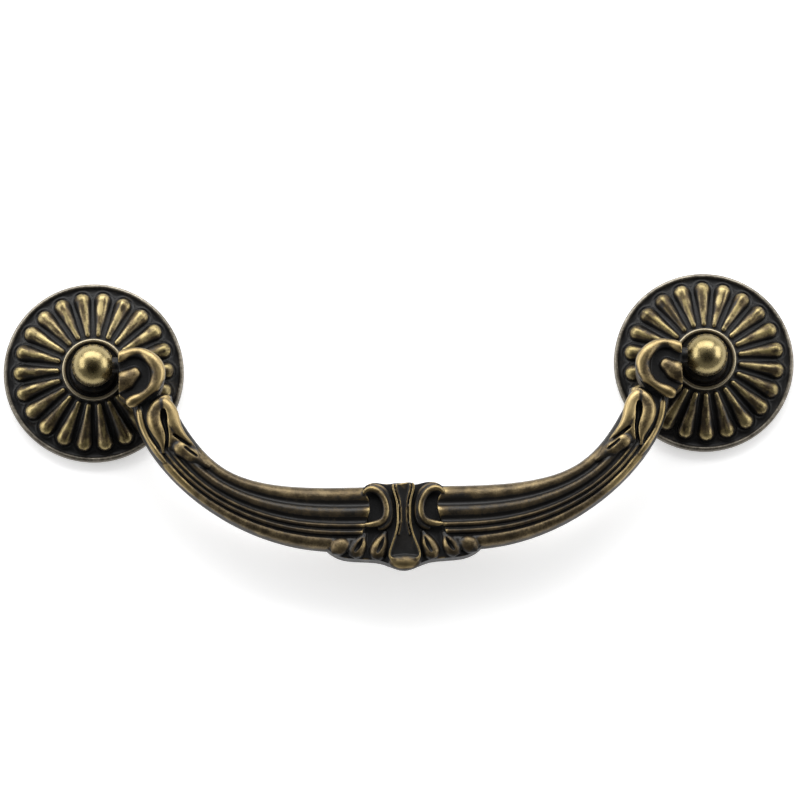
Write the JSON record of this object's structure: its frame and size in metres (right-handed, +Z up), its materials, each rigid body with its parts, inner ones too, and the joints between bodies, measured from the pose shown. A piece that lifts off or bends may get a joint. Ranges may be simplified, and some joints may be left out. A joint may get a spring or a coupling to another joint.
{
  "type": "bail pull",
  "caption": "Antique brass drawer pull: a reeded, leaf-carved bail swings between ball-headed posts set in petalled rosettes.",
  "frame": {"origin": "midway between the screw holes, on the flat backs that lie against the drawer front", "axes": "+X to the right along the line of the screw holes, +Y into the drawer front, +Z up; the pull faces -Y and the bail hangs down"},
  "size_m": [0.1243, 0.0111, 0.0476],
  "materials": {
    "rosette_brass": "antique brass, black patina in the recesses, rubbed bright on the petals",
    "post_brass": "antique brass, rubbed bright on the ball",
    "bail_brass": "antique brass, black patina in the grooves, rubbed on the reeds and leaves"
  },
  "bodies": {
    "base": {"left_rosette": "rosette_brass", "right_rosette": "rosette_brass", "left_post": "post_brass", "right_post": "post_brass"},
    "bail": {"bail": "bail_brass"}
  },
  "joints": [
    {"name": "bail_swing", "type": "hinge", "parent": "base", "child": "bail", "pos_m": [0, -0.0078, 0], "axis": [-1, 0, 0], "range_deg": [-8, 180]}
  ]
}
